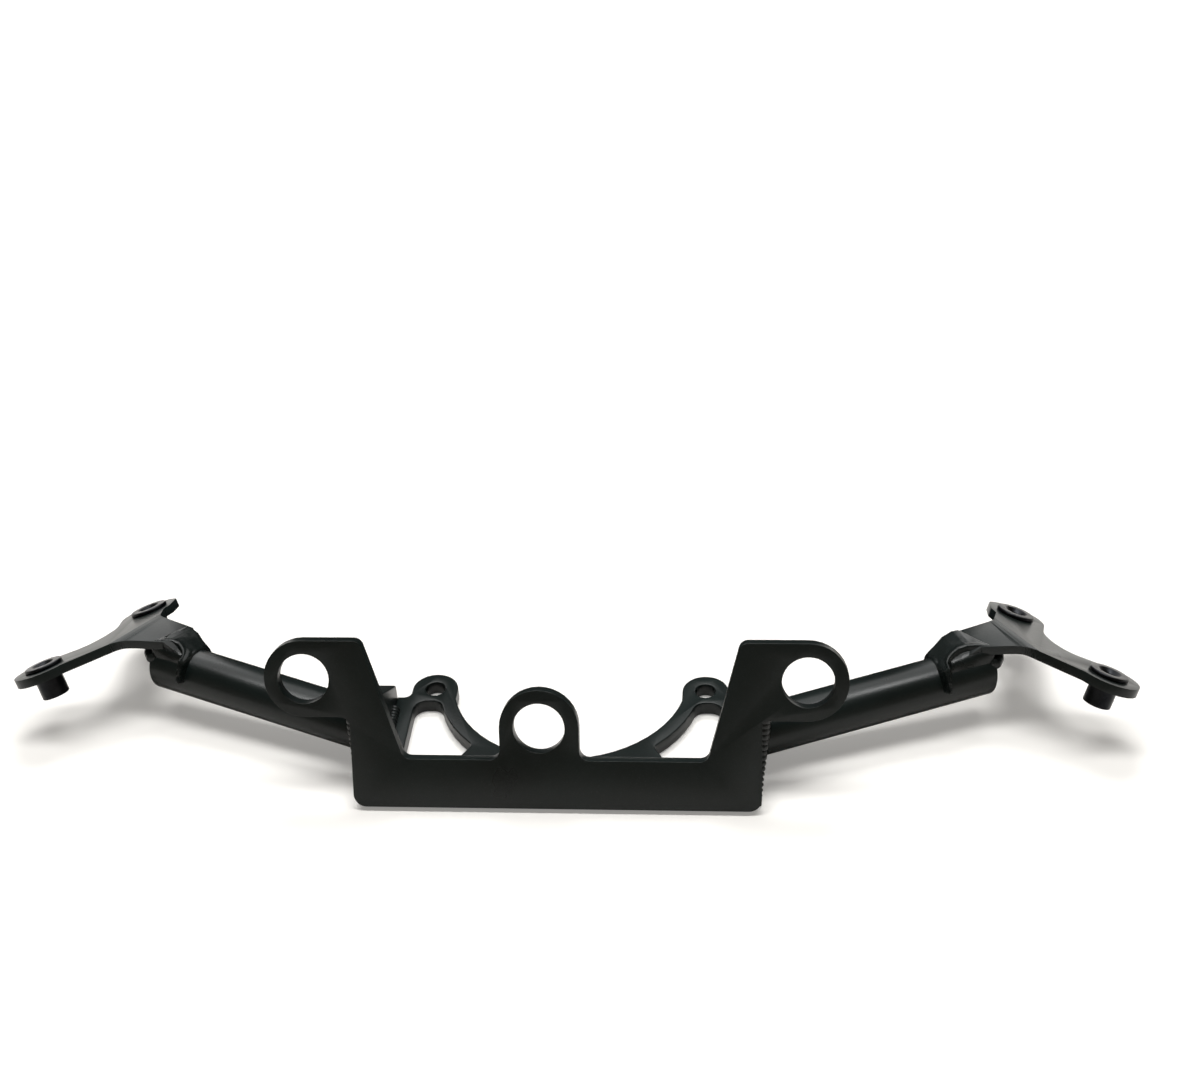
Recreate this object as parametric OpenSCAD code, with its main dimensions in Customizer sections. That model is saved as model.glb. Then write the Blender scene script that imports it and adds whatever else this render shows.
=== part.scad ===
// Fairing stay: a welded aluminium bracket that carries a motorbike's front fairing.
// A leaning front plate holds three rubber-bushed eyes for the instruments. A flat base plate
// with two horns bolts to the headstock. A tube on each side carries a folded wing plate with
// two flanged threaded inserts, where the fairing is screwed on.
// The origin is midway between the two bolt holes, on the underside of the base plate.
// +X points to the viewer's right, +Y away from the front plate, +Z up.

/* [Front plate] */
// Thickness of the front plate
dash_t = 4; // [3:0.5:5]
// Width of the front plate between its side edges
bar_w = 127; // [124:1:130]
// Lean of the front plate back over the base plate, in degrees
dash_lean = 21; // [18:0.5:24]
// Height of the cross bar under the two notches, along the plate
bar_h = 16; // [14:0.5:18]
// Distance between the two ear holes
ear_span = 154.6; // [150:0.2:158]
// Height of the ear holes along the plate
ear_v = 41.8; // [40:0.2:43]
// Outer radius of the ears and of the ring
eye_r = 12.3; // [11:0.1:12.5]
// Bore for a rubber grommet
grommet_d = 16; // [12:0.5:17]
// Sideways place of the ring, left of the middle
ring_x = -4.8; // [-8:0.2:0]
// Height of the ring's hole along the plate
ring_v = 26.4; // [25:0.2:28]
// Radius of the outer corners at the bottom
foot_r = 4; // [2:0.5:5]
// Radius of the notch corners
notch_r = 3; // [2:0.5:4]

/* [Base plate] */
// Thickness of the base plate
base_t = 5; // [4:0.5:6]
// Distance between the two headstock bolt holes
bolt_span = 90.5; // [88:0.5:92]
// Clearance hole for the headstock bolts
bolt_d = 6.6; // [5.5:0.1:8.4]
// Distance from the front plate's foot to the bolt holes
bolt_reach = 53.4; // [52:0.2:55]
// Radius of the lug at each horn's tip
lug_r = 7.6; // [7:0.1:8.2]
// Radius of the wide gap between the horns
gap_r = 39; // [37:0.5:39.5]
// Width of the land between the gap and a window
land_w = 5; // [4.5:0.1:6]

/* [Side gussets] */
// Thickness of a side gusset
gusset_t = 6; // [4:0.5:6]
// Height of a gusset at its rear end
gusset_tail_h = 9.5; // [8:0.5:12]

/* [Tubes] */
// Outer diameter of the tubes
tube_d = 16; // [14:0.5:17]
// Wall of the tubes
tube_wall = 2; // [1.5:0.25:3]
// Backward sweep of the tubes, in degrees
tube_sweep = 19.2; // [17:0.2:21]
// Rise of the tubes towards their outer ends, in degrees
tube_rise = 3.8; // [2:0.2:5]
// Length of a tube on its axis, from the gusset's outer face
tube_len = 77; // [72:1:84]
// Height of the tube's axis at the gusset
tube_z = 11.3; // [10.5:0.1:12]

/* [Wing plates] */
// Thickness of the wing plates
wing_t = 3; // [2.5:0.5:4]
// Angle between a wing plate's stem and its cross arm, in degrees
wing_bend = 28.5; // [20:0.5:32]
// Radius of the wing plate's lobes round the inserts
lobe_r = 10.2; // [8.5:0.1:10.5]
// Gap between a tube and the stem above it, closed by weld
root_gap = 0.5; // [0.2:0.1:1]

/* [Inserts] */
// Diameter of an insert's flange
flange_d = 12.6; // [11:0.1:14]
// Thickness of an insert's flange
flange_t = 1.3; // [1:0.1:1.6]
// Diameter of an insert's body
insert_d = 9; // [8:0.1:9.5]
// Length of an insert's body under its flange
insert_len = 10.2; // [8:0.2:13]
// Bore of an insert, ready for an M6 thread
insert_bore = 5; // [4.8:0.1:5.4]
// Mouth of an insert's countersunk lead-in
mouth_d = 7.6; // [6.5:0.1:8]

/* [Hidden] */
black = [0.12, 0.13, 0.13];
weld_black = [0.16, 0.17, 0.17];
steel_black = [0.20, 0.20, 0.21];
tiny = 0.01;
// Largest turn between two points of an arc in an outline, and the sides of round shapes
arc_step = 10;
wide_fn = 60;
round_fn = 36;
bead_fn = 14;

half_bar = bar_w / 2;
eye_top = ear_v + eye_r;
foot_lift = dash_t * sin(dash_lean);
foot_depth = dash_t * cos(dash_lean);
gusset_in = half_bar - gusset_t;

// Inner ends of the bar's notches beside the ears: at the bar and at the top edge
left_notch_x = [-47.2, -59.4];
right_notch_x = [46.9, 57];

// Centre of the gap between the horns, measured back from the front plate's foot
gap_y = 58.6;
lug_in = bolt_span / 2 - lug_r;
lug_out = bolt_span / 2 + lug_r;
window_r = gap_r + land_w;

// Edges of a window, and the base plate's shoulder beside a horn, all from the front plate's foot
window_out = 51.2;
window_front = 18.5;
window_back = 47.2;
base_back = 49;

// Rear end and front height of a gusset, and the place of the tube's axis on it
gusset_back = 49.6;
gusset_top = 27;
tube_y = 26.8;
tube_r = tube_d / 2;
bore_r = tube_r - tube_wall;

// Slant of the tube's outer end, in degrees from square
end_slant = 9;

// The wing plate's stem lies over the tube's outer end. Its frame starts past that end, on the
// tube's axis, and is turned outwards, back and to one side.
stem_reach = tube_len + 4;
stem_turn = 24.5;
stem_back = 8.8;
stem_roll = -7;
stem_h = tube_r + root_gap + wing_t;

// The fold between the stem and its tongue: its place, its skew and its two ends
fold_x = -8.4;
fold_skew = 8;
fold_rear = 8.8;
fold_front = -4.4;
tab_fold = 32;
tab_len = 8;

// The bend between the stem and the cross arm, then the insert holes on the arm
bend_x = 4.8;
bend_r = 4;
bend_steps = 6;
bend_reach = (bend_r + wing_t) * tan(wing_bend / 2);
front_hole = [27, -25.6];
rear_hole = [20.2, 19.2];

// Turned-off corner of an insert
corner = 0.3;

// Radius of a bead, of a root bead and of a fillet, and the step between two ripples
bead_r = 1.9;
root_r = 2.6;
fillet_r = 2.4;
bead_pitch = 2;

// Start of the collar weld and of its full round, measured back from the tube's end
toe_back = 19;
ring_back = 14;

// A polygon's points from corners given as [x, y, radius], each corner rounded by an arc.
function unit(v) = v / norm(v);
function corner_arc(a, b, c) =
    let(u = unit([a[0] - b[0], a[1] - b[1]]), w = unit([c[0] - b[0], c[1] - b[1]]),
        half = acos(max(-1, min(1, u * w))) / 2, r = b[2])
    r < tiny || half > 89 ? [[b[0], b[1]]] :
    let(run = r / tan(half), centre = [b[0], b[1]] + unit(u + w) * r / sin(half),
        p = [b[0], b[1]] + u * run - centre, q = [b[0], b[1]] + w * run - centre,
        turn = 180 - 2 * half, steps = max(2, ceil(turn / arc_step)),
        way = p[0] * q[1] - p[1] * q[0] > 0 ? 1 : -1)
    [for (i = [0 : steps]) let(g = way * turn * i / steps)
        centre + [p[0] * cos(g) - p[1] * sin(g), p[0] * sin(g) + p[1] * cos(g)]];
function rounded(corners) =
    let(n = len(corners),
        all_points = [for (i = [0 : n - 1])
            each corner_arc(corners[(i + n - 1) % n], corners[i], corners[(i + 1) % n])],
        m = len(all_points))
    [for (i = [0 : m - 1]) if (norm(all_points[i] - all_points[(i + m - 1) % m]) > 0.03)
        all_points[i]];

// Moves to the front plate's front face: X along its foot, Y up the plate, Z towards the viewer.
module on_dash() {
    translate([0, -bolt_reach, foot_lift]) rotate([90 - dash_lean, 0, 0]) children();
}

// Everything in front of the front plate's back face, which trims what stands behind it.
module dash_space() {
    on_dash() translate([-bar_w, -20, -dash_t]) cube([2 * bar_w, 90, 40]);
}

// Moves to the tube on the right: Z runs out along its axis, from the gusset's outer face.
module on_tube() {
    translate([half_bar, tube_y - bolt_reach, tube_z])
        rotate([0, 0, tube_sweep]) rotate([0, 90 - tube_rise, 0]) children();
}

// Moves to the frame of the right wing plate's stem: X outwards, Y back along the two folds.
module on_stem() {
    run = stem_reach * cos(tube_rise);
    translate([half_bar + run * cos(tube_sweep), tube_y - bolt_reach + run * sin(tube_sweep),
               tube_z + stem_reach * sin(tube_rise)])
        rotate([-stem_back, stem_roll, 0]) rotate([0, 0, stem_turn]) children();
}

// Moves to the top face of the right wing plate's cross arm, with X still read from the stem's
// origin along the flat sheet.
module on_arm() {
    on_stem() translate([bend_x - bend_reach, 0, stem_h - wing_t - bend_r])
        rotate([0, wing_bend, 0]) translate([-bend_x - bend_reach, 0, wing_t + bend_r])
        children();
}

module on_side(side) {
    mirror([side < 0 ? 1 : 0, 0, 0]) children();
}

// The front plate: one sheet with two ears, a ring off the middle and two notches.
function dash_outline() = rounded([
    [-half_bar, 0, foot_r], [half_bar, 0, foot_r],
    [half_bar, ear_v - eye_r, 0.6], [ear_span / 2 + eye_r, ear_v - eye_r, eye_r],
    [ear_span / 2 + eye_r, eye_top, eye_r], [right_notch_x[1], eye_top, notch_r],
    [right_notch_x[0], bar_h, notch_r], [ring_x + eye_r, bar_h, notch_r],
    [ring_x + eye_r, ring_v + eye_r, eye_r], [ring_x - eye_r, ring_v + eye_r, eye_r],
    [ring_x - eye_r, bar_h, notch_r], [left_notch_x[0], bar_h, notch_r],
    [left_notch_x[1], eye_top, notch_r], [-ear_span / 2 - eye_r, eye_top, eye_r],
    [-ear_span / 2 - eye_r, ear_v - eye_r, eye_r], [-half_bar, ear_v - eye_r, notch_r]
]);

module dash_plate() {
    color(black) on_dash() difference() {
        translate([0, 0, -dash_t]) linear_extrude(dash_t) polygon(dash_outline());
        for (eye = [[-ear_span / 2, ear_v], [ring_x, ring_v], [ear_span / 2, ear_v]])
            translate([eye[0], eye[1], -dash_t - 1])
                cylinder(d = grommet_d, h = dash_t + 2, $fn = wide_fn);
    }
}

// One of the two windows in the base plate, beside its horn. Its inner edge follows the gap.
function window_outline() = rounded(concat(
    [[window_out, window_front, 3], [window_out, window_back, 4.3]],
    [[sqrt(window_r * window_r - pow(gap_y - window_back, 2)), window_back, 4]],
    [for (a = [68 : -6 : 44]) [window_r * sin(a), gap_y - window_r * cos(a), 0]],
    [[window_r * sin(42), gap_y - window_r * cos(42) - 0.3, 1.5], [33.5, window_front, 3]]
));

// The round edge of the gap, from the right lug's inner side to the left lug's.
function gap_edge() =
    let(end = asin(lug_in / gap_r), steps = 24)
    [for (i = [0 : steps]) let(a = end - 2 * end * i / steps)
        [gap_r * sin(a), gap_y - gap_r * cos(a), 0]];

// The horned base plate, laid flat, with its front edge bevelled against the front plate.
function base_outline() = rounded([
    [-gusset_in, 0, 0], [gusset_in, 0, 0], [gusset_in, base_back, 0],
    [lug_out + 0.2, base_back, 2.5], [lug_out, bolt_reach + lug_r, lug_r],
    [lug_in, bolt_reach + lug_r, lug_r], each gap_edge(), [-lug_in, bolt_reach + lug_r, lug_r],
    [-lug_out, bolt_reach + lug_r, lug_r], [-lug_out - 0.2, base_back, 2.5],
    [-gusset_in, base_back, 0]
]);

module headstock_plate() {
    color(black) difference() {
        translate([0, -bolt_reach, 0]) linear_extrude(base_t) polygon(base_outline());
        for (side = [-1, 1]) {
            translate([side * bolt_span / 2, 0, -1])
                cylinder(d = bolt_d, h = base_t + 2, $fn = wide_fn);
            on_side(side) translate([0, -bolt_reach, -1])
                linear_extrude(base_t + 2) polygon(window_outline());
        }
        dash_space();
    }
}

// A side gusset: an upright plate that ties the two plates and closes the tube's inner end.
function gusset_outline() = rounded([
    [0, 0, 0], [gusset_back, 0, 0], [gusset_back, gusset_tail_h, 2.5],
    [32, 20.8, 12], [16, gusset_top, 0], [0, gusset_top, 0]
]);

module side_gusset() {
    color(black) difference() {
        translate([gusset_in, -bolt_reach, 0]) rotate([90, 0, 90])
            linear_extrude(gusset_t) polygon(gusset_outline());
        dash_space();
    }
}

// Everything inwards of the right gusset's outer face.
module inner_side() {
    translate([half_bar - 40, -bolt_reach - 20, -20]) cube([40, 120, 80]);
}

// The full round bar of a tube, which also clears the welds and the wing plate round it.
module tube_bar() {
    on_tube() translate([0, 0, -10]) cylinder(d = tube_d, h = tube_len + 13, $fn = wide_fn);
}

// A tube, mitred against the gusset and cut at a slant outside, longer along its top.
module tube() {
    color(black) difference() {
        tube_bar();
        on_tube() translate([0, 0, -11]) cylinder(r = bore_r, h = tube_len + 15, $fn = wide_fn);
        on_tube() translate([0, 0, tube_len]) rotate([0, end_slant, 0])
            translate([-tube_d, -tube_d, 0]) cube([2 * tube_d, 2 * tube_d, tube_d]);
        inner_side();
    }
}

// Points on a lobe's edge round a hole, from one angle to another.
function lobe(hole, from, to) =
    let(steps = ceil((to - from) / arc_step))
    [for (i = [0 : steps]) let(g = from + (to - from) * i / steps)
        [hole[0] + lobe_r * cos(g), hole[1] + lobe_r * sin(g), 0]];

// The wing plate as cut from flat sheet, before it is bent.
function wing_outline() = rounded([
    each [[fold_x - 1.24, fold_rear, 0], [fold_x + 0.62, fold_front, 0], [1.5, -9.6, 14],
          [12.3, -22, 16]],
    each lobe(front_hole, 188, 430),
    each [[22, -10.5, 8], [20.6, -3, 12], [22, 4.5, 12]],
    each lobe(rear_hole, -38, 118),
    each [[11.4, 20.8, 3], [11.1, 17.2, 3], [4.4, 8.6, 3]]
]);

// The tongue that continues the stem, folded down on to the tube and narrowing towards it.
module tongue() {
    on_stem() translate([fold_x, 0, stem_h]) rotate([0, 0, fold_skew]) rotate([0, -tab_fold, 0])
        translate([0, 0, -wing_t]) linear_extrude(wing_t)
            polygon([[0, fold_rear], [-tab_len, fold_rear - 3], [-tab_len, fold_front + 3],
                     [0, fold_front]]);
}

// The strip of the flat sheet between two lines across it, with its top face at height 0.
module strip(from, to) {
    translate([0, 0, -wing_t]) linear_extrude(wing_t) intersection() {
        polygon(wing_outline());
        translate([from, -60]) square([to - from, 120]);
    }
}

// The wing plate: the stem, the bend pressed in narrow steps, the cross arm and the tongue.
module wing_plate() {
    color(black) difference() {
        union() {
            on_stem() translate([0, 0, stem_h]) strip(fold_x - 5, bend_x - bend_reach + tiny);
            on_arm() strip(bend_x + bend_reach - tiny, 60);
            for (i = [0 : bend_steps - 1]) {
                middle = bend_x + bend_reach * (2 * i + 1 - bend_steps) / bend_steps;
                half_step = (bend_r + wing_t) * tan(wing_bend / bend_steps / 2) + tiny;
                on_stem() translate([bend_x - bend_reach, 0, stem_h - wing_t - bend_r])
                    rotate([0, wing_bend * (i + 0.5) / bend_steps, 0])
                    translate([-middle, 0, wing_t + bend_r])
                    strip(middle - half_step, middle + half_step);
            }
            tongue();
        }
        for (hole = [front_hole, rear_hole])
            on_arm() translate([hole[0], hole[1], -wing_t - 10])
                cylinder(d = insert_d, h = wing_t + 20, $fn = round_fn);
        tube_bar();
    }
}

// A flanged threaded insert, pressed down through the wing plate, with its corners turned off.
module insert(hole) {
    lead_in = (mouth_d - insert_bore) / 2;
    color(steel_black) on_arm() translate([hole[0], hole[1], 0]) difference() {
        union() {
            cylinder(d = flange_d, h = flange_t - corner, $fn = round_fn);
            translate([0, 0, flange_t - corner])
                cylinder(d1 = flange_d, d2 = flange_d - 2 * corner, h = corner, $fn = round_fn);
            translate([0, 0, -insert_len + corner])
                cylinder(d = insert_d, h = insert_len - corner + tiny, $fn = round_fn);
            translate([0, 0, -insert_len])
                cylinder(d1 = insert_d - 2 * corner, d2 = insert_d, h = corner, $fn = round_fn);
        }
        translate([0, 0, -insert_len - 1])
            cylinder(d = insert_bore, h = insert_len + flange_t + 2, $fn = round_fn);
        translate([0, 0, flange_t - lead_in])
            cylinder(d1 = insert_bore, d2 = mouth_d + 2 * tiny, h = lead_in + tiny, $fn = round_fn);
    }
}

// The collar of weld round the tongue, run out on to the tube and along the stem's front root.
module collar_weld() {
    color(weld_black) difference() {
        union() {
            hull() {
                on_tube() translate([0, 0, tube_len - toe_back]) intersection() {
                    cylinder(d = tube_d + 1, h = 1, $fn = round_fn);
                    translate([-tube_r - 2, -tube_r - 2, 0]) cube([tube_r, tube_d + 4, 2]);
                }
                on_tube() translate([0, 0, tube_len - ring_back]) intersection() {
                    cylinder(d = tube_d + 1.6, h = 2, $fn = round_fn);
                    translate([-tube_r - 2, -tube_r - 2, 0]) cube([tube_r + 2, tube_d + 4, 4]);
                }
                on_stem() translate([fold_x, 0, stem_h - wing_t]) rotate([0, 0, fold_skew])
                    translate([-1.4, fold_front + 0.6, 0])
                    cube([1, fold_rear - fold_front - 1.2, wing_t - 0.7]);
            }
            on_stem() hull() {
                translate([fold_x - 3, -2.6, tube_r - 1.6]) sphere(r = root_r, $fn = bead_fn);
                translate([-4.2, -3.4, tube_r - 1.6]) sphere(r = root_r, $fn = bead_fn);
            }
        }
        tube_bar();
        tongue();
        on_stem() translate([fold_x, -40, stem_h - wing_t]) cube([60, 80, 20]);
    }
}

// The weld round the tube's inner end, on the gusset's outer face.
module tube_weld() {
    color(weld_black) difference() {
        translate([half_bar, tube_y - bolt_reach, tube_z]) rotate([0, 90, 0])
            rotate_extrude($fn = round_fn) translate([tube_r + 0.2, 0])
            circle(r = bead_r, $fn = bead_fn);
        tube_bar();
        inner_side();
    }
}

// The rippled weld down the outer seam of the front plate and a gusset: drops of weld laid
// downwards from the ear, each a little smaller than the last.
module side_weld(side) {
    top = ear_v - eye_r - 2.6;
    drops = round(top / bead_pitch) - 1;
    color(weld_black) difference() {
        on_side(side) on_dash() for (i = [0 : drops])
            translate([half_bar - 0.9, top - i * bead_pitch, -dash_t - 0.4])
                sphere(r = bead_r + 0.5 - 0.7 * i / drops, $fn = bead_fn);
        dash_plate();
        on_side(side) side_gusset();
    }
}

// The fillet of weld between a gusset's inner face and the base plate.
module base_weld() {
    color(weld_black) intersection() {
        translate([gusset_in, -bolt_reach + 9, base_t]) rotate([-90, 0, 0])
            cylinder(r = fillet_r, h = base_back - 15, $fn = bead_fn);
        translate([gusset_in - 10, -bolt_reach, base_t]) cube([10, 80, 10]);
    }
}

// The fillet of weld behind the front plate, on the base plate.
module back_weld() {
    back_y = foot_depth + base_t * tan(dash_lean) - bolt_reach;
    color(weld_black) difference() {
        translate([16, back_y, base_t]) rotate([0, 90, 0])
            cylinder(r = fillet_r, h = gusset_in - 22, $fn = bead_fn);
        translate([0, -bolt_reach - 10, base_t - 10]) cube([gusset_in, 40, 10]);
        dash_space();
    }
}

dash_plate();
headstock_plate();
on_side(-1) side_gusset();  // side_gusset_left
side_gusset();  // side_gusset_right
on_side(-1) tube();  // tube_left
tube();  // tube_right
on_side(-1) wing_plate();  // fairing_plate_left
wing_plate();  // fairing_plate_right
on_side(-1) insert(front_hole);  // insert_left_front
on_side(-1) insert(rear_hole);  // insert_left_rear
insert(front_hole);  // insert_right_front
insert(rear_hole);  // insert_right_rear
on_side(-1) collar_weld();  // collar_weld_left
collar_weld();  // collar_weld_right
on_side(-1) tube_weld();  // tube_weld_left
tube_weld();  // tube_weld_right
side_weld(-1);  // side_weld_left
side_weld(1);  // side_weld_right
on_side(-1) base_weld();  // base_weld_left
base_weld();  // base_weld_right
on_side(-1) back_weld();  // back_weld_left
back_weld();  // back_weld_right
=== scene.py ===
# %% [markdown]
# # A fairing stay in satin black
# The real object is a welded aluminium bracket for a motorbike's fairing: a leaning front plate
# with three eyes, a base plate with two bolted horns, swept side tubes and folded wing plates.
# After welding it was coated all over in one satin black finish. The measured solids come from
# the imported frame, and this lesson adds what a rigid solid does not show: eased edges, the ripples
# of the weld beads and the finish itself.

import math

import bmesh
import bpy
from mathutils import Matrix, Vector, noise


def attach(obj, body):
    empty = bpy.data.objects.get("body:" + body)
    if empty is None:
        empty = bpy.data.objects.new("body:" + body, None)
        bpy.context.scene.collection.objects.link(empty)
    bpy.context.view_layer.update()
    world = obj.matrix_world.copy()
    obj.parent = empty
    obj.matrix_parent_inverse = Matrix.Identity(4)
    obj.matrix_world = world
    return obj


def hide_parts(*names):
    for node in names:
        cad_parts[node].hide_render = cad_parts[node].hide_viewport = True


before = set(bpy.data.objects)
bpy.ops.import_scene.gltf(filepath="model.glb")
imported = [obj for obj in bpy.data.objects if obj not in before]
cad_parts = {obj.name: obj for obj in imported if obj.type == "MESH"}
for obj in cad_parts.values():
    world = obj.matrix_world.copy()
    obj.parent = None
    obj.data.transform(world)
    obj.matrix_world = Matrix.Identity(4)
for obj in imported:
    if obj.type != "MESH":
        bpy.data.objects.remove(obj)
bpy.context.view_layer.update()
MM = 0.001
print("frame loaded:", len(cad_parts), "solids")

# %% [markdown]
# ## The camera
# The camera was worked out from the plates' sizes: a long lens, looking down at the table by
# about 35 degrees and standing a little to the right of the middle. It is also rolled by three
# degrees, as a camera held by hand often is. We build its three axes ourselves, so that the order
# of the turns is plain to see.

# %% Place the camera
PICTURE_WIDTH = 1202
CAMERA_PLACE = Vector((56.86, -441.94, 374.48)) * MM
LOOK_DOWN = math.radians(34.79)
TURN_LEFT = math.radians(5.63)
ROLL = math.radians(-3.15)
FOCAL_PIXELS = 1726.66
SENSOR_WIDTH = 36


def camera_axes():
    """The camera's right, up and backward directions."""
    forward = Vector((
        -math.sin(TURN_LEFT) * math.cos(LOOK_DOWN),
        math.cos(TURN_LEFT) * math.cos(LOOK_DOWN),
        -math.sin(LOOK_DOWN),
    ))
    level = Vector((math.cos(TURN_LEFT), math.sin(TURN_LEFT), 0))
    above = level.cross(forward)
    right = level * math.cos(ROLL) + above * math.sin(ROLL)
    up = above * math.cos(ROLL) - level * math.sin(ROLL)
    return right, up, -forward


lens = bpy.data.cameras.new("camera")
lens.sensor_width = SENSOR_WIDTH
lens.lens = FOCAL_PIXELS * SENSOR_WIDTH / PICTURE_WIDTH
lens.clip_start = 0.01
lens.clip_end = 20
camera = bpy.data.objects.new("camera", lens)
bpy.context.scene.collection.objects.link(camera)
camera.matrix_world = Matrix.Translation(CAMERA_PLACE) @ Matrix(camera_axes()).transposed().to_4x4()
bpy.context.scene.camera = camera
bpy.context.scene.view_settings.view_transform = "Standard"
print("lens", round(lens.lens, 1), "mm")

# %% [markdown]
# ## Colours and shader nodes
# Paint charts and web pages give colours as sRGB hex codes, but a shader wants linear light, so
# one function turns the first into the second. A second small function adds any node with its
# settings and links, which keeps each material down to a short recipe.


# %% Helpers for materials
def colour(code):
    """A hex code such as "#232726" as a linear colour with full opacity."""
    shades = [int(code[i:i + 2], 16) / 255 for i in (1, 3, 5)]
    linear = [s / 12.92 if s <= 0.04045 else ((s + 0.055) / 1.055) ** 2.4 for s in shades]
    return (*linear, 1.0)


def add(tree, kind, inputs=None, links=None, stops=(), **settings):
    """Adds one node with its settings, inputs and links, and a ramp's (place, colour) stops."""
    made = tree.nodes.new(kind)
    for name, value in settings.items():
        setattr(made, name, value)
    for name, value in (inputs or {}).items():
        made.inputs[name].default_value = value
    for name, socket in (links or {}).items():
        tree.links.new(socket, made.inputs[name])
    for i, (place, shade) in enumerate(stops):
        made.color_ramp.elements[i].position = place
        made.color_ramp.elements[i].color = shade
    return made


def empty_material(name):
    """A new material and its node tree, with nothing in the tree."""
    made = bpy.data.materials.new(name)
    made.use_nodes = True
    made.node_tree.nodes.clear()
    return made, made.node_tree


print("white in linear light:", colour("#FFFFFF"))

# %% [markdown]
# ## Satin black powder coat
# Powder coat is a plastic film, baked on to the metal. It is not quite flat: it has a fine
# orange-peel texture, about a millimetre from crest to crest, which breaks up each reflection.
# The film's gloss also varies a little over some centimetres, and fine paler flecks stand in for
# dust and handling. A plastic film reflects as plastic does, so metallic stays at zero. Its
# specular level is below the usual one half, which keeps the black as deep as on the real stay.
# All the sizes are in millimetres.

# %% Make the powder coat
PEEL_SIZE = 1.1
PEEL_HEIGHT = 0.05
CLOUD_SIZE = 28
SPECK_SIZE = 0.35
SPECK_HEIGHT = 0.02
FLECK_COLOUR = "#2E3331"
COAT_REFLECTION = 0.3


def per_metre(size_mm):
    """The noise scale that gives one cell for each size_mm."""
    return 1000 / size_mm


def powder_coat(name, dark, light, peel, rough_low, rough_high):
    """A satin film between two shades, with its peel's strength and its range of roughness."""
    made, tree = empty_material(name)
    where = add(tree, "ShaderNodeTexCoord").outputs["Object"]
    clouds = add(tree, "ShaderNodeTexNoise", {"Scale": per_metre(CLOUD_SIZE), "Detail": 4.0},
                 {"Vector": where})
    specks = add(tree, "ShaderNodeTexNoise", {"Scale": per_metre(SPECK_SIZE), "Detail": 2.0},
                 {"Vector": where})
    shade = add(tree, "ShaderNodeValToRGB", {}, {"Fac": clouds.outputs["Fac"]},
                stops=[(0.3, colour(dark)), (0.72, colour(light))])
    fleck = add(tree, "ShaderNodeMapRange",
                {"From Min": 0.6, "From Max": 0.8, "To Min": 0.0, "To Max": 0.5},
                {"Value": specks.outputs["Fac"]})
    pigment = add(tree, "ShaderNodeMixRGB", {"Color2": colour(FLECK_COLOUR)},
                  {"Fac": fleck.outputs["Result"], "Color1": shade.outputs["Color"]})
    gloss = add(tree, "ShaderNodeMapRange",
                {"From Min": 0.3, "From Max": 0.7, "To Min": rough_low, "To Max": rough_high},
                {"Value": clouds.outputs["Fac"]})
    orange_peel = add(tree, "ShaderNodeTexNoise", {"Scale": per_metre(PEEL_SIZE), "Detail": 2.0},
                      {"Vector": where})
    peel_bump = add(tree, "ShaderNodeBump", {"Strength": peel, "Distance": PEEL_HEIGHT * MM},
                    {"Height": orange_peel.outputs["Fac"]})
    grain = add(tree, "ShaderNodeBump", {"Strength": peel * 0.6, "Distance": SPECK_HEIGHT * MM},
                {"Height": specks.outputs["Fac"], "Normal": peel_bump.outputs["Normal"]})
    film = add(tree, "ShaderNodeBsdfPrincipled",
               {"Metallic": 0.0, "IOR": 1.5, "Specular IOR Level": COAT_REFLECTION},
               {"Base Color": pigment.outputs["Color"], "Roughness": gloss.outputs["Result"],
                "Normal": grain.outputs["Normal"]})
    add(tree, "ShaderNodeOutputMaterial", links={"Surface": film.outputs["BSDF"]})
    return made


satin_coat = powder_coat("satin_black_powder_coat", "#090F0E", "#101817", 0.35, 0.27, 0.34)
weld_coat = powder_coat("powder_coat_over_weld", "#0A0F0E", "#121817", 0.5, 0.24, 0.32)
print("materials:", satin_coat.name, weld_coat.name)

# %% [markdown]
# ## Blackened steel inserts
# The threaded inserts are turned steel with a thin black finish. The finish takes unevenly, in
# blotches a few millimetres wide, and it has a fine grain. The steel still reflects as metal
# does, so metallic is one, and the dark colour of the finish tints each reflection.

# %% Make the blackened steel
BLOTCH_SIZE = 4
GRAIN_SIZE = 0.3
GRAIN_HEIGHT = 0.02


def blackened_steel():
    made, tree = empty_material("blackened_turned_steel")
    where = add(tree, "ShaderNodeTexCoord").outputs["Object"]
    blotches = add(tree, "ShaderNodeTexNoise", {"Scale": per_metre(BLOTCH_SIZE), "Detail": 5.0},
                   {"Vector": where})
    shade = add(tree, "ShaderNodeValToRGB", {}, {"Fac": blotches.outputs["Fac"]},
                stops=[(0.3, colour("#1B1C1E")), (0.7, colour("#2A2B2D"))])
    gloss = add(tree, "ShaderNodeMapRange",
                {"From Min": 0.3, "From Max": 0.7, "To Min": 0.26, "To Max": 0.4},
                {"Value": blotches.outputs["Fac"]})
    fine = add(tree, "ShaderNodeTexNoise", {"Scale": per_metre(GRAIN_SIZE), "Detail": 2.0},
               {"Vector": where})
    bump = add(tree, "ShaderNodeBump", {"Strength": 0.2, "Distance": GRAIN_HEIGHT * MM},
               {"Height": fine.outputs["Fac"]})
    steel = add(tree, "ShaderNodeBsdfPrincipled", {"Metallic": 1.0},
                {"Base Color": shade.outputs["Color"], "Roughness": gloss.outputs["Result"],
                 "Normal": bump.outputs["Normal"]})
    add(tree, "ShaderNodeOutputMaterial", links={"Surface": steel.outputs["BSDF"]})
    return made


insert_steel = blackened_steel()
print("material:", insert_steel.name)

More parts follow.
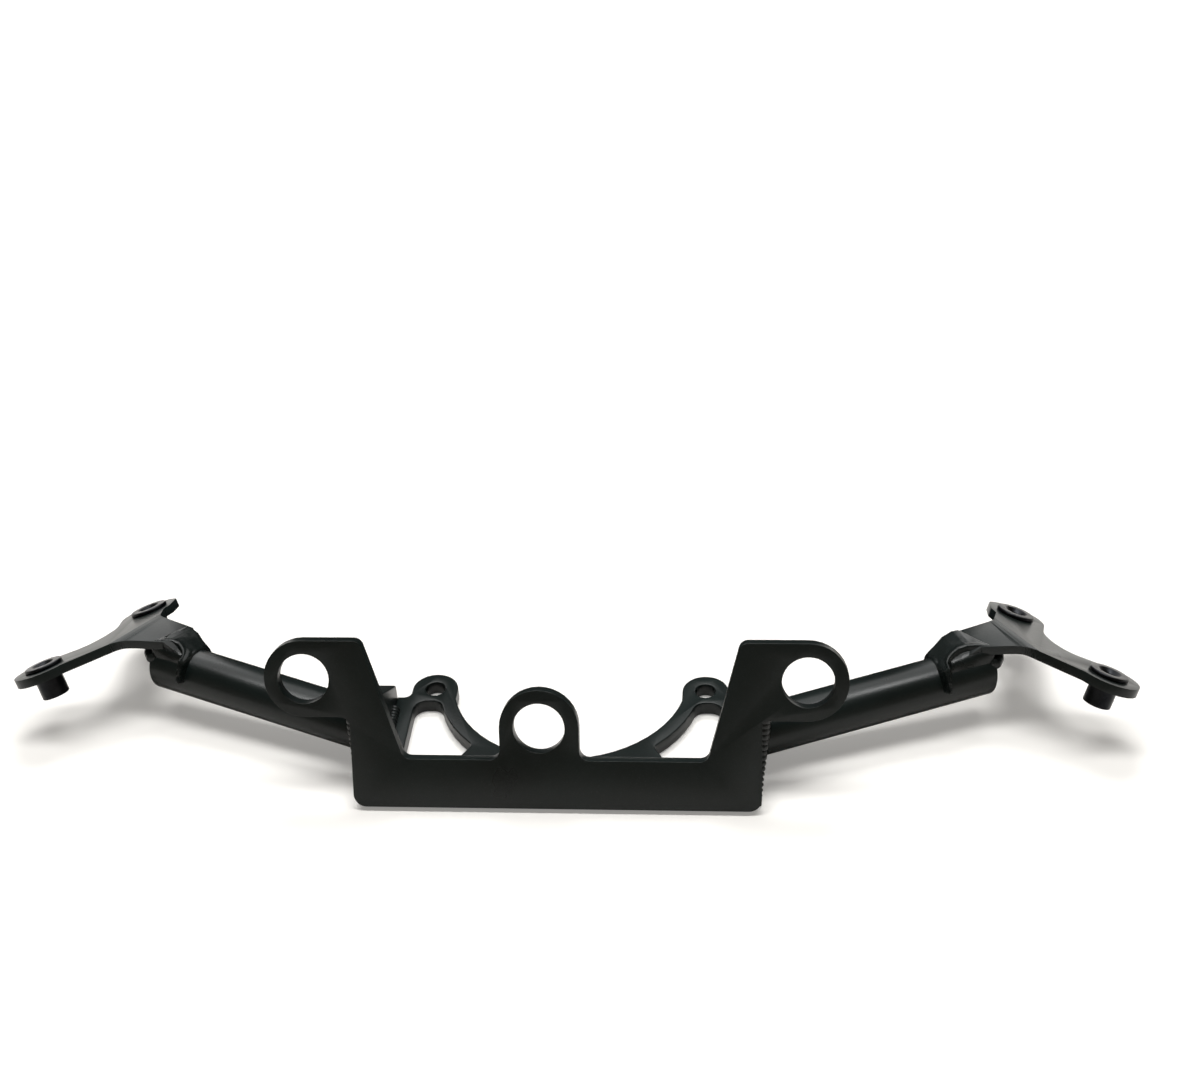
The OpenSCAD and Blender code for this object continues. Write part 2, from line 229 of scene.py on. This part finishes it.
# %% [markdown]
# ## Eased edges
# A laser-cut plate is tumbled or filed before it is coated, and the coat rounds it further, so no
# edge on the real stay is sharp. Those rounded edges catch the light as thin bright lines, and
# they do more for the look than any texture. We copy each solid, join its loose triangles into
# whole faces, and let a Bevel modifier round every corner that is sharper than a set angle.

# %% Ease the edges of the solids
SHARP = math.radians(32)
MERGE = 0.000002
FLAT = math.radians(0.4)


def joined_faces(node):
    """A copy of a solid with its loose triangles merged into whole faces."""
    copy = bpy.data.meshes.new(node + "_eased")
    shape = bmesh.new()
    shape.from_mesh(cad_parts[node].data)
    bmesh.ops.remove_doubles(shape, verts=shape.verts, dist=MERGE)
    bmesh.ops.dissolve_limit(shape, angle_limit=FLAT, verts=shape.verts, edges=shape.edges)
    shape.to_mesh(copy)
    shape.free()
    return copy


def baked(piece):
    """Turns a piece with modifiers into a plain mesh and drops the modifiers."""
    seen = piece.evaluated_get(bpy.context.evaluated_depsgraph_get())
    mesh = bpy.data.meshes.new_from_object(seen)
    piece.modifiers.clear()
    piece.data = mesh
    return piece


def eased(node, width_mm, finish):
    """Replaces a solid by a copy with rounded edges and a finish."""
    piece = bpy.data.objects.new(node + "_eased", joined_faces(node))
    bpy.context.scene.collection.objects.link(piece)
    bevel = piece.modifiers.new("eased", "BEVEL")
    bevel.width = width_mm * MM
    bevel.segments = 3
    bevel.limit_method = "ANGLE"
    bevel.angle_limit = SHARP
    bevel.use_clamp_overlap = True
    baked(piece)
    piece.data.materials.clear()
    piece.data.materials.append(finish)
    piece.data.shade_smooth()
    piece.data.set_sharp_from_angle(angle=SHARP)
    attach(piece, "root")
    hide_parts(node)
    return piece


SIDES = ("left", "right")
plates = [eased("dash_plate", 0.5, satin_coat),
          eased("headstock_plate", 0.5, satin_coat)]
for side in SIDES:
    plates.append(eased("side_gusset_" + side, 0.5, satin_coat))
    plates.append(eased("tube_" + side, 0.4, satin_coat))
    plates.append(eased("fairing_plate_" + side, 0.45, satin_coat))
inserts = [eased(f"insert_{side}_{end}", 0.2, insert_steel)
           for side in SIDES for end in ("front", "rear")]
print("eased pieces:", len(plates) + len(inserts))

# %% [markdown]
# ## The thread in each insert
# Looking down into an insert one sees the turns of its M6 thread. A fine ridge winds down the
# bore: a spiral of points, swept into a thin wire by a bevelled curve. Each insert stands square
# on its folded wing plate, so the plate's angles give the direction of its bore.

# %% Find an insert's axis
STEM_BACK = math.radians(-8.8)
STEM_ROLL = math.radians(-7)
BEND_TURN = math.radians(24.5)
WING_BEND = math.radians(28.5)


def insert_axes(node):
    """An insert's middle in millimetres, its three directions, and its top above the middle."""
    spots = [Vector(v.co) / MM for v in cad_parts[node].data.vertices]
    middle = sum(spots, Vector()) / len(spots)
    way = -1 if "left" in node else 1
    turn = Matrix.Rotation(STEM_BACK, 3, "X") @ Matrix.Rotation(STEM_ROLL, 3, "Y")
    turn = turn @ Matrix.Rotation(BEND_TURN, 3, "Z") @ Matrix.Rotation(WING_BEND, 3, "Y")
    side, back, up = (turn @ Vector(axis) for axis in ((1, 0, 0), (0, 1, 0), (0, 0, 1)))
    for axis in (side, back, up):
        axis.x *= way
    heights = [(spot - middle).dot(up) for spot in spots]
    return middle, side, back, up, max(heights)


print("an insert's top above its middle:", round(insert_axes("insert_left_front")[4], 2), "mm")

# %% Wind the threads
THREAD_PITCH = 1.0
THREAD_STEPS = 20
THREAD_START = 1.6
THREAD_END = 9.5
RIDGE_PLACE = 2.56
RIDGE_R = 0.3


def thread(node):
    """A wire that winds down an insert's bore."""
    middle, side, back, up, top = insert_axes(node)
    curve = bpy.data.curves.new(node + "_thread", "CURVE")
    curve.dimensions = "3D"
    curve.bevel_depth = RIDGE_R * MM
    curve.bevel_resolution = 0
    spiral = curve.splines.new("POLY")
    spiral.points.add(int((THREAD_END - THREAD_START) / THREAD_PITCH * THREAD_STEPS))
    for i, point in enumerate(spiral.points):
        angle = 2 * math.pi * i / THREAD_STEPS
        spot = middle + up * (top - THREAD_START - THREAD_PITCH * i / THREAD_STEPS)
        spot = spot + (side * math.cos(angle) + back * math.sin(angle)) * RIDGE_PLACE
        point.co = (*(spot * MM), 1)
    piece = bpy.data.objects.new(node + "_thread", curve)
    bpy.context.scene.collection.objects.link(piece)
    mesh = bpy.data.meshes.new_from_object(
        piece.evaluated_get(bpy.context.evaluated_depsgraph_get()))
    solid = bpy.data.objects.new(node + "_ridge", mesh)
    bpy.context.scene.collection.objects.link(solid)
    bpy.data.objects.remove(piece)
    mesh.materials.clear()
    mesh.materials.append(insert_steel)
    mesh.shade_smooth()
    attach(solid, "root")
    return solid


threads = [thread(f"insert_{side}_{end}") for side in SIDES for end in ("front", "rear")]
print("threads:", len(threads))

# %% [markdown]
# ## Weld beads with ripples
# A hand-laid weld is a row of small puddles, each frozen over the edge of the one before. One
# geometry node tree makes all of them: it walks along a path, drops a squashed ball at every
# step, leans it and lets the balls grow or shrink from the path's start to its end. Each bead is
# then turned into a plain mesh, and where the frame has a plain solid for that weld, the mesh
# takes its place.


# %% Build the ripple tree
def ripple_tree():
    tree = bpy.data.node_groups.new("weld_ripples", "GeometryNodeTree")
    face = tree.interface
    face.new_socket("Geometry", in_out="INPUT", socket_type="NodeSocketGeometry")
    for name, kind in (("Pitch", "Float"), ("Radius", "Float"), ("End Size", "Float"),
                       ("Squash", "Float"), ("Lean", "Rotation"), ("Finish", "Material")):
        face.new_socket(name, in_out="INPUT", socket_type="NodeSocket" + kind)
    face.new_socket("Geometry", in_out="OUTPUT", socket_type="NodeSocketGeometry")

    given = add(tree, "NodeGroupInput").outputs
    path = add(tree, "GeometryNodeMeshToCurve", links={"Mesh": given["Geometry"]})
    place = add(tree, "GeometryNodeSplineParameter")
    marked = add(tree, "GeometryNodeCaptureAttribute", links={"Geometry": path.outputs["Curve"]})
    marked.capture_items.new("FLOAT", "along")
    tree.links.new(place.outputs["Factor"], marked.inputs["along"])
    steps = add(tree, "GeometryNodeCurveToPoints", {},
                {"Curve": marked.outputs["Geometry"], "Length": given["Pitch"]}, mode="LENGTH")
    leaning = add(tree, "FunctionNodeRotateRotation", {},
                  {"Rotation": steps.outputs["Rotation"], "Rotate By": given["Lean"]},
                  rotation_space="LOCAL")
    fading = add(tree, "ShaderNodeMapRange", {"From Min": 0.0, "From Max": 1.0, "To Min": 1.0},
                 {"Value": marked.outputs["along"], "To Max": given["End Size"]})
    chance = add(tree, "FunctionNodeRandomValue", {2: 0.93, 3: 1.07, "Seed": 0},
                 data_type="FLOAT")
    wide = add(tree, "ShaderNodeMath", {}, {0: given["Radius"], 1: fading.outputs["Result"]},
               operation="MULTIPLY")
    uneven = add(tree, "ShaderNodeMath", {}, {0: wide.outputs["Value"], 1: chance.outputs[1]},
                 operation="MULTIPLY")
    short = add(tree, "ShaderNodeMath", {}, {0: uneven.outputs["Value"], 1: given["Squash"]},
                operation="MULTIPLY")
    size = add(tree, "ShaderNodeCombineXYZ", {}, {"X": uneven.outputs["Value"],
                                                  "Y": uneven.outputs["Value"],
                                                  "Z": short.outputs["Value"]})
    drop = add(tree, "GeometryNodeMeshUVSphere", {"Segments": 18, "Rings": 10, "Radius": 1.0})
    drops = add(tree, "GeometryNodeInstanceOnPoints", {},
                {"Points": steps.outputs["Points"], "Instance": drop.outputs["Mesh"],
                 "Rotation": leaning.outputs["Rotation"], "Scale": size.outputs["Vector"]})
    solid = add(tree, "GeometryNodeRealizeInstances",
                links={"Geometry": drops.outputs["Instances"]})
    soft = add(tree, "GeometryNodeSetShadeSmooth", links={"Geometry": solid.outputs["Geometry"]})
    coated = add(tree, "GeometryNodeSetMaterial", links={"Geometry": soft.outputs["Geometry"],
                                                         "Material": given["Finish"]})
    add(tree, "NodeGroupOutput", links={"Geometry": coated.outputs["Geometry"]})
    return tree


ripples = ripple_tree()
sockets = {item.name: item.identifier for item in ripples.interface.items_tree
           if item.in_out == "INPUT"}
print("ripple inputs:", ", ".join(sockets))


# %% Lay one bead
def bead(node, points_mm, pitch, radius, end_size=1.0, squash=0.62, lean=(0, 0, 0),
         replaced=True):
    """Lays a rippled bead along points in millimetres, mostly in place of a weld's solid."""
    line = bpy.data.meshes.new(node + "_bead")
    line.from_pydata([Vector(p) * MM for p in points_mm],
                     [(i, i + 1) for i in range(len(points_mm) - 1)], [])
    piece = bpy.data.objects.new(node + "_bead", line)
    bpy.context.scene.collection.objects.link(piece)
    rows = piece.modifiers.new("ripples", "NODES")
    rows.node_group = ripples
    for name, value in (("Pitch", pitch * MM), ("Radius", radius * MM), ("End Size", end_size),
                        ("Squash", squash), ("Lean", [math.radians(a) for a in lean]),
                        ("Finish", weld_coat)):
        rows[sockets[name]] = value
    baked(piece)
    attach(piece, "root")
    if replaced:
        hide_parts(node)
    return piece


print("finish of the beads:", weld_coat.name)

# %% [markdown]
# The beads' paths follow from the plates' sizes, in millimetres. The side bead runs down the
# seam behind the front plate's edge and fades towards the foot, as a weld does when the torch is
# lifted away.

# %% Lay the beads
HALF_BAR = 63.5
GUSSET_IN = 57.5
FOOT_Y = -53.4
DASH_T = 4
BASE_T = 5
DASH_LEAN = math.radians(21)
TUBE_PLACE = Vector((63.5, -26.6, 11.3))
TUBE_R = 8
EAR_FOOT = 29.5
SEAM_SIZE = {"left": 2.0, "right": 2.7}


def on_dash(x, up, forward):
    """A point beside the leaning front plate, from its front face."""
    return (x, FOOT_Y + up * math.sin(DASH_LEAN) - forward * math.cos(DASH_LEAN),
            DASH_T * math.sin(DASH_LEAN) + up * math.cos(DASH_LEAN)
            + forward * math.sin(DASH_LEAN))


def ring(centre, radius, steps=48):
    """A circle of points round an axis that points sideways."""
    turns = [2 * math.pi * i / steps for i in range(steps + 1)]
    return [(centre.x, centre.y + radius * math.cos(a), centre.z + radius * math.sin(a))
            for a in turns]


beads = []
for side, way in (("left", -1), ("right", 1)):
    seam = [on_dash(way * (HALF_BAR - back), up, -DASH_T + 0.3)
            for up, back in ((EAR_FOOT - 0.8, 0), (17, 0.3), (4, 0.6))]
    beads.append(bead("side_weld_" + side, seam, pitch=1.7, radius=SEAM_SIZE[side],
                      end_size=0.3, squash=0.8, lean=(35, 0, 0)))
    start = Vector((way * (HALF_BAR + 0.1), TUBE_PLACE.y, TUBE_PLACE.z))
    beads.append(bead("tube_weld_" + side, ring(start, TUBE_R + 0.3), pitch=1.35, radius=1.7))
    corner = [(way * (GUSSET_IN - 0.1), FOOT_Y + y, BASE_T + 0.1) for y in (10, 42)]
    beads.append(bead("base_weld_" + side, corner, pitch=1.4, radius=2.1))
    back_y = FOOT_Y + DASH_T * math.cos(DASH_LEAN) + BASE_T * math.tan(DASH_LEAN)
    root = [(way * x, back_y + 0.2, BASE_T + 0.1) for x in (17, 51)]
    beads.append(bead("back_weld_" + side, root, pitch=1.4, radius=2.0))
print("rippled beads:", len(beads))

# %% [markdown]
# ## The collar welds
# Each wing plate's stem ends in a tongue that is folded down on to the tube and drowned in weld.
# The weld starts as a ring on the tube, climbs to the fold as a smooth skin over the tongue, and
# ends in front at a rounded lip, with a dark pocket behind it under the stem. We shape it as
# heights above the tube's axis, one for each place along the tube and each turn round it, in
# millimetres and degrees. A few listed stops give the lips and the skin's rise. FOLD alone goes
# the other way: it gives the place along the tube for each turn.

# %% Give the collar's outline
SUNK = TUBE_R - 0.25
TOE = 58.4
STEM_FOOT = 76.4
FRONT_LIP = ((60.0, -80), (60.8, -48), (61.6, -30), (63, -21), (65, -15), (67.5, -10),
             (70, -10.5), (73.2, -18), (76.4, -25))
BACK_LIP = ((60, 80), (61.5, 62), (64, 52), (67, 45), (70, 40), (76.4, 36))
FRONT_RISE = ((58.8, 7.7), (60.5, 8.9), (61.6, 9.5), (63, 10.3), (65, 10.9), (67.5, 11.2),
              (70, 11.5), (73.2, 11.65), (76.4, 11.65))
BACK_RISE = ((58.8, 7.7), (60.5, 8.5), (63.5, 9.9), (66.2, 11.3), (69.6, 12.1), (71.5, 12.1),
             (73.5, 11.7), (76.4, 11.65))
FOLD = ((-23, 76.4), (-10, 75.3), (10, 73.8), (20, 72.8), (35, 71.2), (50, 69))


def smooth(t):
    """Zero below 0, one above 1, and a soft step from one to the other."""
    t = min(max(t, 0), 1)
    return t * t * (3 - 2 * t)


def between(value, stops):
    """Reads a curve that is given as a few (place, height) stops."""
    value = max(value, stops[0][0])
    for (a, low), (b, high) in zip(stops, stops[1:]):
        if value <= b:
            return low + (high - low) * (value - a) / (b - a)
    return stops[-1][1]


print("the front lip halfway:", round(between((TOE + STEM_FOOT) / 2, FRONT_LIP), 1), "degrees")

# %% [markdown]
# Three terms make the weld: a low band round the tube, the skin over the tongue with its lip, and
# a bulge that fills the pocket's floor. The highest of them at a place is the weld there.

# %% Shape the collar
BAND_HEIGHT = 0.95
BAND_END = 64.2
FLANK_END = 80
LIP_HEIGHT = 0.45
LIP_WIDTH = 4.5
FRONT_CAP = 44
BACK_CAP = 34
POCKET_DEPTH = 1.5


def collar_height(s, turn):
    """Distance from the tube's axis to the weld's skin, at s along the tube."""
    band = BAND_HEIGHT * smooth((s - TOE) / 1.6) * smooth((BAND_END - s) / 3.4)
    band *= smooth((FLANK_END - abs(turn)) / 48)
    across = smooth((turn + 20) / 55)
    rise = between(s, FRONT_RISE) * (1 - across) + between(s, BACK_RISE) * across
    front, rear = between(s, FRONT_LIP), between(s, BACK_LIP)
    edge = min(smooth((turn - front + 9) / 8), smooth((rear + 9 - turn) / 16))
    fall = 0.5 + 5.5 * smooth((turn - 5) / 20)
    edge *= smooth((between(turn, FOLD) - s) / fall + 1) * smooth((s - TOE) / 1.2)
    lip = LIP_HEIGHT * math.exp(-((turn - front - 3) / LIP_WIDTH) ** 2)
    lip *= smooth((STEM_FOOT - 0.9 - s) / 2)
    steep = math.cos(math.radians(min(abs(turn), FRONT_CAP if turn < 0 else BACK_CAP)))
    skin = (rise / steep + lip - SUNK) * edge
    bulge = (rise / steep - SUNK - POCKET_DEPTH) * smooth((turn + 51) / (front + 53))
    bulge *= smooth((25 - turn) / 20)
    bulge *= smooth((s - 60.5) / 3.5) * smooth((STEM_FOOT + 3 - s) / 3)
    return SUNK + max(band, skin, bulge)


print("the weld's top over the tube's axis:", round(collar_height(70, 10), 1), "mm")

# %% Find places round the tube
TUBE_SWEEP = math.radians(19.2)
TUBE_RISE = math.radians(3.8)


def tube_axes():
    """Directions along the tube, up from it to the stem, and round to its back."""
    along = Vector((math.cos(TUBE_RISE) * math.cos(TUBE_SWEEP),
                    math.cos(TUBE_RISE) * math.sin(TUBE_SWEEP), math.sin(TUBE_RISE)))
    stem = Matrix.Rotation(STEM_BACK, 3, "X") @ Matrix.Rotation(STEM_ROLL, 3, "Y")
    over = stem @ Vector((0, 0, 1))
    over = (over - along * over.dot(along)).normalized()
    return along, over, over.cross(along)


ALONG, OVER, BACK = tube_axes()


def spot_on(s, turn, height, way):
    """A point in millimetres at s along the tube, turned round it, at a height from its axis."""
    angle = math.radians(turn)
    spot = TUBE_PLACE + ALONG * s + (OVER * math.cos(angle) + BACK * math.sin(angle)) * height
    return (way * spot.x, spot.y, spot.z)


print("the collar's toe:", [round(c, 1) for c in spot_on(TOE, 0, TUBE_R, 1)], "mm")

# %% [markdown]
# The skin is one grid of points over those heights. Only the faces that rise above the tube are
# kept, so that nothing hangs past the tube's slanted end. A little noise keeps the weld
# hand-made. The left collar was laid shorter and lower than the right one, so it is squeezed
# towards the stem. On both sides a last rippled bead lies over the tube's end.

# %% Make the collars
STEP_ALONG = 0.2
STEPS_ALONG = 103
STEP_ROUND = 1.5
RAISED = 0.05
WAVE_HEIGHT = 0.08
RIPPLE_HEIGHT = 0.02
LOW_HUMP = 0.15
END_BEAD = ((-46, 77.8), (-38, 79), (-28, 79.4), (-10, 79), (12, 78.4), (40, 77.6))


def collar_grid(way, toe_shift):
    """The skin's points in metres row by row, which of them are raised, and a row's length."""
    steps = STEPS_ALONG - round(toe_shift / STEP_ALONG)
    reach = [TOE + toe_shift - 0.4 + STEP_ALONG * i for i in range(steps)]
    turns = [STEP_ROUND * i for i in range(-60, 61)]
    length = STEM_FOOT - TOE
    points, raised = [], []
    for s in reach:
        place = s if s > STEM_FOOT else STEM_FOOT - (STEM_FOOT - s) * length / (length - toe_shift)
        for turn in turns:
            height = collar_height(place, turn)
            height -= LOW_HUMP * toe_shift * smooth((height - 9) / 3) * smooth((76 - s) / 5)
            raised.append(height > SUNK + RAISED)
            if raised[-1]:
                wave = noise.noise(Vector((s * 0.45, turn * 0.07, 3.0 * way)))
                ripple = noise.noise(Vector((s * 1.3, turn * 0.2, 7.0 * way)))
                height += WAVE_HEIGHT * wave + RIPPLE_HEIGHT * ripple
            points.append([c * MM for c in spot_on(s, turn, height, way)])
    return points, raised, len(turns)


def collar(side, way, toe_shift):
    """The weld's skin on one side, with the bead at the tube's end."""
    points, raised, row = collar_grid(way, toe_shift)
    faces = [(i + j, i + j + 1, i + row + j + 1, i + row + j)
             for i in range(0, len(points) - row, row) for j in range(row - 1)]
    faces = [face for face in faces if any(raised[corner] for corner in face)]
    if way > 0:
        faces = [face[::-1] for face in faces]
    sleeve = bpy.data.meshes.new("collar_weld_" + side + "_sleeve")
    sleeve.from_pydata(points, [], faces)
    sleeve.materials.append(weld_coat)
    sleeve.shade_smooth()
    piece = bpy.data.objects.new("collar_weld_" + side + "_sleeve", sleeve)
    bpy.context.scene.collection.objects.link(piece)
    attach(piece, "root")
    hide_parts("collar_weld_" + side)
    rim = [spot_on(s, turn, TUBE_R - 1.2, way) for turn, s in END_BEAD]
    bead("end_bead_" + side, rim, pitch=0.8, radius=2.3, end_size=0.7, squash=0.9,
         replaced=False)
    return piece


collars = [collar("left", -1, 5.0), collar("right", 1, 0)]
print("collars:", len(collars))

# %% [markdown]
# ## Table and light
# The stay lies on a wide white table, which takes its shadow. Where the camera looks at the
# table a little white is added, and more of it farther away, so that it reads as clean white up
# to its far edge while no extra light falls on the object.

# %% Lay the table
TABLE_SIZE = 6.0
GLOW_NEAR, GLOW_FAR = 0.25, 1.0
FADE_START, FADE_END = 0.5, 2.0


def white_table():
    made, tree = empty_material("white_table")
    path = add(tree, "ShaderNodeLightPath")
    away = add(tree, "ShaderNodeVectorMath", {},
               {"Vector": add(tree, "ShaderNodeTexCoord").outputs["Object"]}, operation="LENGTH")
    fading = add(tree, "ShaderNodeMapRange",
                 {"From Min": FADE_START, "From Max": FADE_END,
                  "To Min": GLOW_NEAR, "To Max": GLOW_FAR},
                 {"Value": away.outputs["Value"]})
    glow = add(tree, "ShaderNodeMath", {}, {0: path.outputs["Is Camera Ray"],
                                            1: fading.outputs["Result"]}, operation="MULTIPLY")
    top = add(tree, "ShaderNodeBsdfPrincipled",
              {"Base Color": colour("#DFDDD9"), "Roughness": 0.7,
               "Emission Color": colour("#FFFEFB")},
              {"Emission Strength": glow.outputs["Value"]})
    add(tree, "ShaderNodeOutputMaterial", links={"Surface": top.outputs["BSDF"]})
    return made


table_mesh = bpy.data.meshes.new("table")
half = TABLE_SIZE / 2
table_mesh.from_pydata([(-half, -half, 0), (half, -half, 0), (half, half, 0), (-half, half, 0)],
                       [], [(0, 1, 2, 3)])
table = bpy.data.objects.new("table", table_mesh)
table.location.z = -0.0002
table_mesh.materials.append(white_table())
bpy.context.scene.collection.objects.link(table)
print("table:", TABLE_SIZE, "m square")

# %% [markdown]
# The upward edges of the plates are darker than a bright room would make them. As a photographer
# would, we stand a dark card behind the middle of the stay for them to mirror: one upright leaf
# and one flat on the table. Only reflections see it.

# %% Stand a dark card behind
CARD_LEFT, CARD_RIGHT = -0.15, 0.13
CARD_FRONT, CARD_BACK = 0.011, 0.13
CARD_TOP = 0.15


def dark_card():
    made, tree = empty_material("dark_card")
    cloth = add(tree, "ShaderNodeBsdfPrincipled", {"Base Color": colour("#0A0B0B"),
                                                   "Roughness": 0.9, "Specular IOR Level": 0.1})
    add(tree, "ShaderNodeOutputMaterial", links={"Surface": cloth.outputs["BSDF"]})
    return made


card_mesh = bpy.data.meshes.new("card")
card_mesh.from_pydata([(CARD_LEFT, CARD_BACK, 0), (CARD_RIGHT, CARD_BACK, 0),
                       (CARD_RIGHT, CARD_BACK, CARD_TOP), (CARD_LEFT, CARD_BACK, CARD_TOP),
                       (CARD_LEFT, CARD_FRONT, 0), (CARD_RIGHT, CARD_FRONT, 0)],
                      [], [(0, 1, 2, 3), (4, 5, 1, 0)])
card_mesh.materials.append(dark_card())
card = bpy.data.objects.new("card", card_mesh)
bpy.context.scene.collection.objects.link(card)
card.visible_camera = card.visible_diffuse = card.visible_shadow = False
card.visible_transmission = card.visible_volume_scatter = False
print("card:", len(card_mesh.polygons), "leaves")

# %% [markdown]
# Four soft lamps light the stay. The strip overhead casts the main shadows and draws the bright
# line along each tube, and the skylight behind it softens them. The wall and the ceiling are only
# mirrored in the satin film: they make the folded wing plates paler than the front plate.


# %% Light the scene
def soft_light(name, place, aim, size, power):
    """A rectangular lamp at place, turned to aim."""
    lamp = bpy.data.lights.new(name, "AREA")
    lamp.shape = "RECTANGLE"
    lamp.size, lamp.size_y = size
    lamp.energy = power
    stand = bpy.data.objects.new(name, lamp)
    stand.location = place
    stand.rotation_euler = (Vector(aim) - Vector(place)).to_track_quat("-Z", "Y").to_euler()
    bpy.context.scene.collection.objects.link(stand)
    return stand


soft_light("strip", (0.0, 0.05, 1.5), (0, 0, 0), (1.5, 0.28), 20)
skylight = soft_light("skylight", (0.0, 0.8, 1.5), (0, 0, 0), (0.6, 0.4), 15)
skylight.visible_glossy = False
for name, place, size, power in (("wall", (-0.3, 2.0, 0.9), (5.0, 1.4), 48),
                                 ("ceiling", (0.0, 0.9, 1.5), (3.0, 1.6), 31)):
    panel = soft_light(name, place, (0, 0, 0), size, power)
    panel.visible_diffuse = False

# %% [markdown]
# The room itself gives a faint warm light that is strongest near the horizon. The camera sees
# plain white instead of it.

# %% Fill the room
HORIZON_LIGHT, OVERHEAD_LIGHT = 0.3, 0.12

world = bpy.data.worlds.new("room")
bpy.context.scene.world = world
world.use_nodes = True
room = world.node_tree
room.nodes.clear()
path = add(room, "ShaderNodeLightPath")
upward = add(room, "ShaderNodeSeparateXYZ",
             links={"Vector": add(room, "ShaderNodeTexCoord").outputs["Generated"]})
wall = add(room, "ShaderNodeMapRange",
           {"From Min": 0.25, "From Max": 0.55, "To Min": HORIZON_LIGHT,
            "To Max": OVERHEAD_LIGHT},
           {"Value": upward.outputs["Z"]})
plain = add(room, "ShaderNodeBackground", {"Color": colour("#F0E4D4")},
            {"Strength": wall.outputs["Result"]})
white = add(room, "ShaderNodeBackground", {"Color": (1, 1, 1, 1), "Strength": 1.0})
shown = add(room, "ShaderNodeMixShader", {}, {0: path.outputs["Is Camera Ray"],
                                              1: plain.outputs["Background"],
                                              2: white.outputs["Background"]})
add(room, "ShaderNodeOutputWorld", links={"Surface": shown.outputs["Shader"]})
print("room:", world.name)
